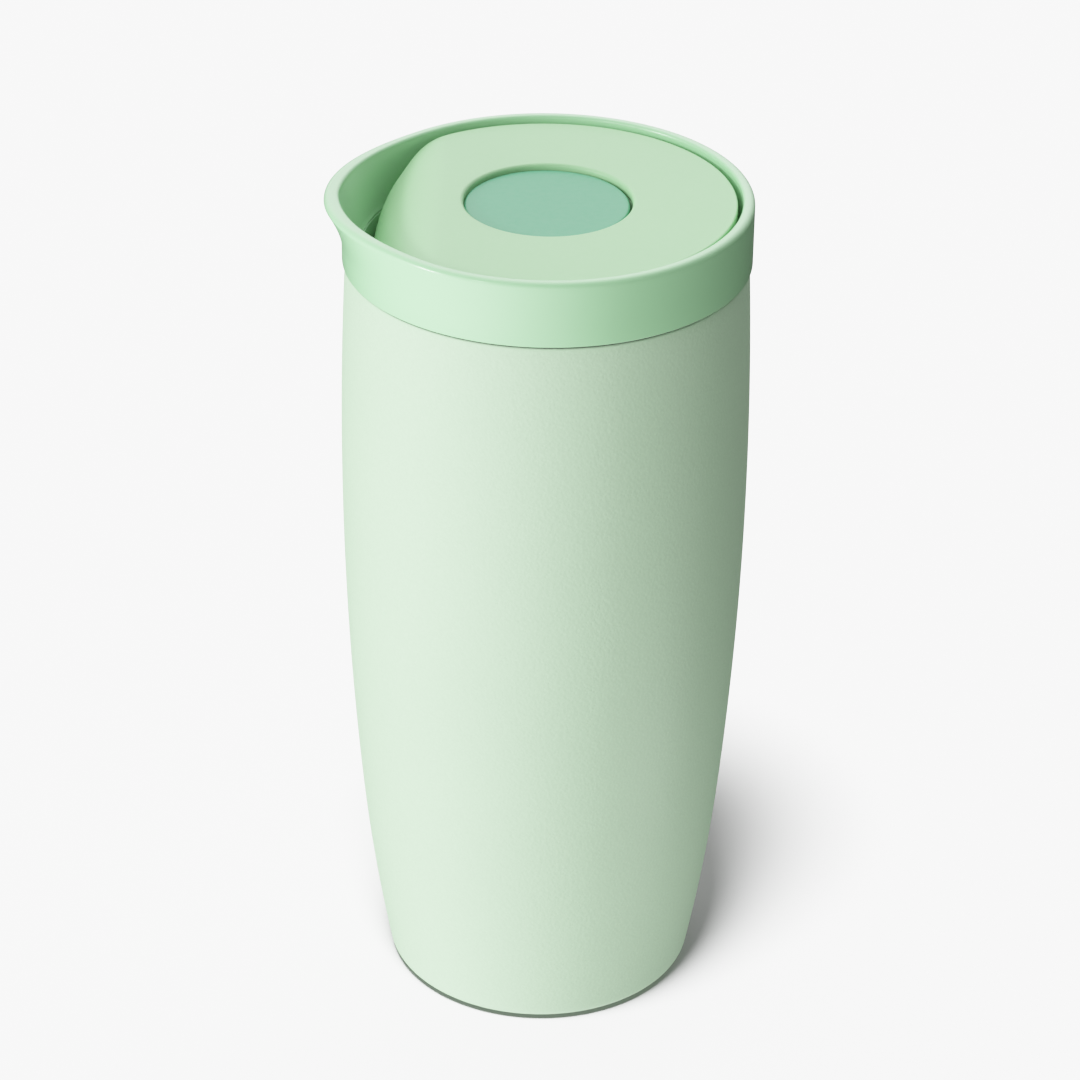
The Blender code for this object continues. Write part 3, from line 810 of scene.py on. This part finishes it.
def sleeve_section(angle):
    """Fixed sleeve, whose teeth point down."""
    tooth = tooth_height(angle)
    return rounded([(11.4, 167.1, 0.3), (11.4, 179.6, 0.4), (7.6, 179.6, 0.3), (7.6, tooth),
                    (9.9, tooth), (9.9, 167.1, 0.3)])


def rotor_section(angle):
    """Rotor on the stem, whose teeth point up and follow the sleeve's at a gap."""
    tooth = tooth_height(angle) - TOOTH_GAP
    return rounded([(3.7, 172.4, 0.2), (9.6, 172.4, 0.3), (9.6, tooth), (7.4, tooth),
                    (7.4, 173.8), (3.7, 173.8, 0.2)])


def make_ratchet(acetal):
    sleeve = ring(sleeve_section, tooth_angles())
    add_piece("ratchet_sleeve", sleeve, acetal, "lid", ["cam_sleeve"])
    rotor = ring(rotor_section, tooth_angles())
    add_piece("ratchet_rotor", rotor, acetal, "rotor", ["cam_rotor"])


def spring_height(part):
    """Height of the wire's centre: the end turns lie nearly flat, the middle rises evenly."""
    low = SPRING_BOTTOM + SPRING_WIRE
    high = SPRING_TOP - SPRING_WIRE
    end_turn = 1.0 / SPRING_TURNS
    end_rise = 2.2 * SPRING_WIRE
    if part < end_turn:
        return low + end_rise * part / end_turn
    if part > 1.0 - end_turn:
        return high - end_rise * (1.0 - part) / end_turn
    share = (part - end_turn) / (1.0 - 2 * end_turn)
    return low + end_rise + share * (high - low - 2 * end_rise)


def make_spring(wire):
    """The coil spring, drawn at rest; in the mug it shortens evenly as the button goes down."""
    per_turn = 48
    sides = 12
    count = SPRING_TURNS * per_turn
    form = bmesh.new()
    loops = []
    for step in range(count + 1):
        turn = 2 * pi * step / per_turn
        height = spring_height(step / count)
        loop = []
        for side in range(sides):
            around = 2 * pi * side / sides
            radius = SPRING_RADIUS + SPRING_WIRE * cos(around)
            lift = SPRING_WIRE * sin(around)
            loop.append(form.verts.new((radius * cos(turn), radius * sin(turn), height + lift)))
        loops.append(loop)
    for loop, following in zip(loops, loops[1:]):
        for side in range(sides):
            after = (side + 1) % sides
            form.faces.new((loop[side], following[side], following[after], loop[after]))
    form.faces.new(loops[0])
    form.faces.new(loops[-1])
    spring = add_piece("coil_spring", form, wire, "lid", ["return_spring"])
    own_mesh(spring)


def make_stem(acetal):
    """Stem from the button down to the nut, with a collar that carries the rotor."""
    stem = [(0, 150.6), (2.4, 150.6, 0.4), (2.4, 155.0), (STEM_RADIUS, 155.0, 0.3),
            (STEM_RADIUS, 171.2), (6.5, 171.2, 0.2), (6.5, 172.1, 0.2), (STEM_RADIUS, 172.1),
            (STEM_RADIUS, 181.0, 0.5), (0, 181.0)]
    turned("stem", rounded(stem), acetal, "plunger", ["valve_stem"], 48)


def nut_section(angle):
    """Hexagonal nut, closed below, with its corners rounded off."""
    flat = NUT_FLAT / cos(radians((angle + 30.0) % 60.0 - 30.0))
    grip = min(flat, NUT_CORNER)
    return rounded([(0, 149.6), (grip - 0.5, 149.6, 0.3), (grip, 150.2, 0.3),
                    (grip, 152.3, 0.2), (2.8, 152.3), (2.8, 150.3), (0, 150.3)])


def make_valve(plastic, rubber):
    """The seal that closes the flow holes from below, the disc that backs it and the nut."""
    seal = [(3.5, 155.2, 0.2), (13.6, 155.2, 0.4), (14.2, 155.8, 0.3), (15.5, 156.2, 0.4),
            (15.5, 157.2, 0.3), (14.8, 157.7, 0.3), (14.0, 157.3, 0.3), (3.5, 157.3, 0.2)]
    turned("seal_washer", rounded(seal), rubber, "plunger", ["valve_seal"], 128)
    disc = [(2.8, 152.6), (9.4, 152.6, 0.4), (10.2, 153.0, 0.4), (14.0, 154.0, 0.5),
            (14.0, 154.9, 0.3), (2.8, 154.9)]
    turned("valve_disc", rounded(disc), plastic, "plunger", ["valve_plug"], 96)
    turned("cap_nut", nut_section, plastic, "plunger", ["valve_nut"], 96)


# ---------------------------------------------------------------- stage

def direction(azimuth, elevation):
    """Unit vector; azimuth in degrees from +X towards +Y, elevation above the floor."""
    around, up = radians(azimuth), radians(elevation)
    return Vector((cos(around) * cos(up), sin(around) * cos(up), sin(up)))


def make_stage():
    """Floor; the mug is lit from below by the studio's own soft light, not by the floor."""
    mesh = bpy.data.meshes.new("floor")
    corners = [(x * FLOOR_REACH, y * FLOOR_REACH, 0) for x, y in ((-1, -1), (1, -1), (1, 1), (-1, 1))]
    mesh.from_pydata(corners, [], [(0, 1, 2, 3)])
    floor = bpy.data.objects.new("floor", mesh)
    bpy.context.collection.objects.link(floor)
    surface = Surface("floor_paper", (FLOOR_TONE, FLOOR_TONE, FLOOR_TONE), 0.95)
    surface.set("Specular IOR Level", 0.0)
    mesh.materials.append(surface.material)
    floor.visible_diffuse = False
    floor.visible_glossy = False
    floor.visible_shadow = False
    return floor


def soft_lobe(nodes, links, way, towards, narrowness, strength):
    """Light that is strongest in one direction and fades evenly away from it."""
    dot = nodes.new("ShaderNodeVectorMath")
    dot.operation = "DOT_PRODUCT"
    dot.inputs[1].default_value = direction(*towards)
    links.new(way, dot.inputs[0])
    socket = dot.outputs["Value"]
    for operation, value in (("MAXIMUM", 0.0), ("POWER", narrowness), ("MULTIPLY", strength)):
        step = nodes.new("ShaderNodeMath")
        step.operation = operation
        step.inputs[1].default_value = value
        links.new(socket, step.inputs[0])
        socket = step.outputs[0]
    return socket


def make_world():
    """Studio light from all round, as soft lobes; the camera sees it as plain white."""
    world = bpy.data.worlds.new("studio")
    world.use_nodes = True
    bpy.context.scene.world = world
    nodes, links = world.node_tree.nodes, world.node_tree.links
    way = nodes.new("ShaderNodeTexCoord").outputs["Generated"]
    total = None
    for lobe in SOFT_LIGHTS:
        socket = soft_lobe(nodes, links, way, *lobe)
        if total is not None:
            join = nodes.new("ShaderNodeMath")
            links.new(total, join.inputs[0])
            links.new(socket, join.inputs[1])
            socket = join.outputs[0]
        total = socket
    lit = nodes["Background"]
    links.new(total, lit.inputs["Strength"])
    lit.inputs["Color"].default_value = (1.0, 1.0, 1.0, 1.0)
    seen = nodes.new("ShaderNodeBackground")
    seen.inputs["Color"].default_value = (1.0, 1.0, 1.0, 1.0)
    seen.inputs["Strength"].default_value = WHITE
    mix = nodes.new("ShaderNodeMixShader")
    links.new(nodes.new("ShaderNodeLightPath").outputs["Is Camera Ray"], mix.inputs[0])
    links.new(lit.outputs[0], mix.inputs[1])
    links.new(seen.outputs[0], mix.inputs[2])
    links.new(mix.outputs[0], nodes["World Output"].inputs["Surface"])


def add_light(light, backwards, receivers):
    """Put a light in the scene; it shines against the backwards vector, on its receivers only."""
    lamp = bpy.data.objects.new(light.name, light)
    bpy.context.collection.objects.link(lamp)
    lamp.rotation_mode = "QUATERNION"
    lamp.rotation_quaternion = backwards.to_track_quat("Z", "Y")
    lamp.light_linking.receiver_collection = receivers
    return lamp


def add_sun(name, towards, energy, angle, receivers):
    light = bpy.data.lights.new(name, "SUN")
    light.energy = energy
    light.angle = radians(angle)
    add_light(light, direction(*towards), receivers)


def add_low_lamp(receivers):
    """Small lamp that lifts the shaded lower right of the mug; the camera doesn't see it."""
    light = bpy.data.lights.new("low_right", "AREA")
    light.energy = LOW_LAMP_POWER
    light.size = LOW_LAMP_SIZE
    lamp = add_light(light, Vector(LOW_LAMP_PLACE) - Vector(LOW_LAMP_TARGET), receivers)
    lamp.location = LOW_LAMP_PLACE
    lamp.visible_camera = False


def own_collection(name, thing, state):
    """Collection for light linking: the one thing that a light falls on, or leaves out."""
    group = bpy.data.collections.new(name)
    group.objects.link(thing)
    group.collection_objects[0].light_linking.link_state = state
    return group


def make_lights(floor):
    """Small keys and a low lamp for the mug, and one high soft light for the floor."""
    all_but_floor = own_collection("lit_mug", floor, "EXCLUDE")
    for key in KEYS:
        add_sun(*key, all_but_floor)
    floor_only = own_collection("lit_floor", floor, "INCLUDE")
    add_sun("floor_light", FLOOR_LIGHT_FROM, FLOOR_LIGHT, FLOOR_LIGHT_ANGLE, floor_only)
    add_low_lamp(all_but_floor)


def set_tone_curve():
    """Photographic shoulder: whites roll off gently, and colours pale as they get bright."""
    view = bpy.context.scene.view_settings
    view.view_transform = "Standard"
    view.use_curve_mapping = True
    mapping = view.curve_mapping
    mapping.white_level = (TONE_WHITE, TONE_WHITE, TONE_WHITE)
    curve = mapping.curves[3]        # the one that acts on all three channels
    curve.points[-1].location = (1.0, 1.0 - exp(-TONE_WHITE))
    for light in TONE_POINTS:
        curve.points.new(light / TONE_WHITE, 1.0 - exp(-light))
    mapping.update()


def make_camera():
    """Camera that looks down on the mug from the front."""
    lens = bpy.data.cameras.new("camera")
    lens.sensor_width = SENSOR
    lens.lens = LENS
    camera = bpy.data.objects.new("camera", lens)
    bpy.context.collection.objects.link(camera)
    turn = Matrix.Rotation(radians(CAMERA_YAW), 4, "Z")
    turn = turn @ Matrix.Rotation(pi / 2 - radians(CAMERA_PITCH), 4, "X")
    turn = turn @ Matrix.Rotation(radians(CAMERA_ROLL), 4, "Z")
    camera.matrix_world = Matrix.Translation(CAMERA_PLACE) @ turn
    bpy.context.scene.camera = camera


def main():
    """Materials first, then the pieces, then the stage."""
    coat = powder_coat()
    steel = brushed_steel("liner_steel", (0.6, 0.59, 0.57))
    lid = lid_plastic("lid_green", (0.37, 0.73, 0.39), 0.32, 0.6)
    cover = lid_plastic("cover_green", (0.352, 0.672, 0.342), 0.42)
    teal = lid_plastic("button_teal", (0.072, 0.37, 0.19), 0.4)
    inner = lid_plastic("inner_green", (0.36, 0.62, 0.36), 0.4)
    acetal = lid_plastic("acetal", (0.78, 0.78, 0.74), 0.35)
    rubber = silicone("silicone_seal", (0.72, 0.75, 0.7))
    pad = silicone("silicone_pad", (0.42, 0.56, 0.42))
    # near-black painted shade for the seam ring, standing for the shadow in the gap under the collar
    dark = silicone("painted_seam_shadow", (0.012, 0.02, 0.01))
    dull = silicone("getter_metal", (0.22, 0.22, 0.22))
    wire = brushed_steel("spring_wire", (0.5, 0.5, 0.5))
    make_flask(coat, steel, pad, dull)
    make_lid(lid, cover)
    make_gasket(rubber)
    make_seam_shadow_ring(dark)
    make_button(teal, rubber)
    make_guide(inner, rubber)
    make_ratchet(acetal)
    make_spring(wire)
    make_stem(acetal)
    make_valve(inner, rubber)
    floor = make_stage()
    make_world()
    make_lights(floor)
    make_camera()
    set_tone_curve()


main()
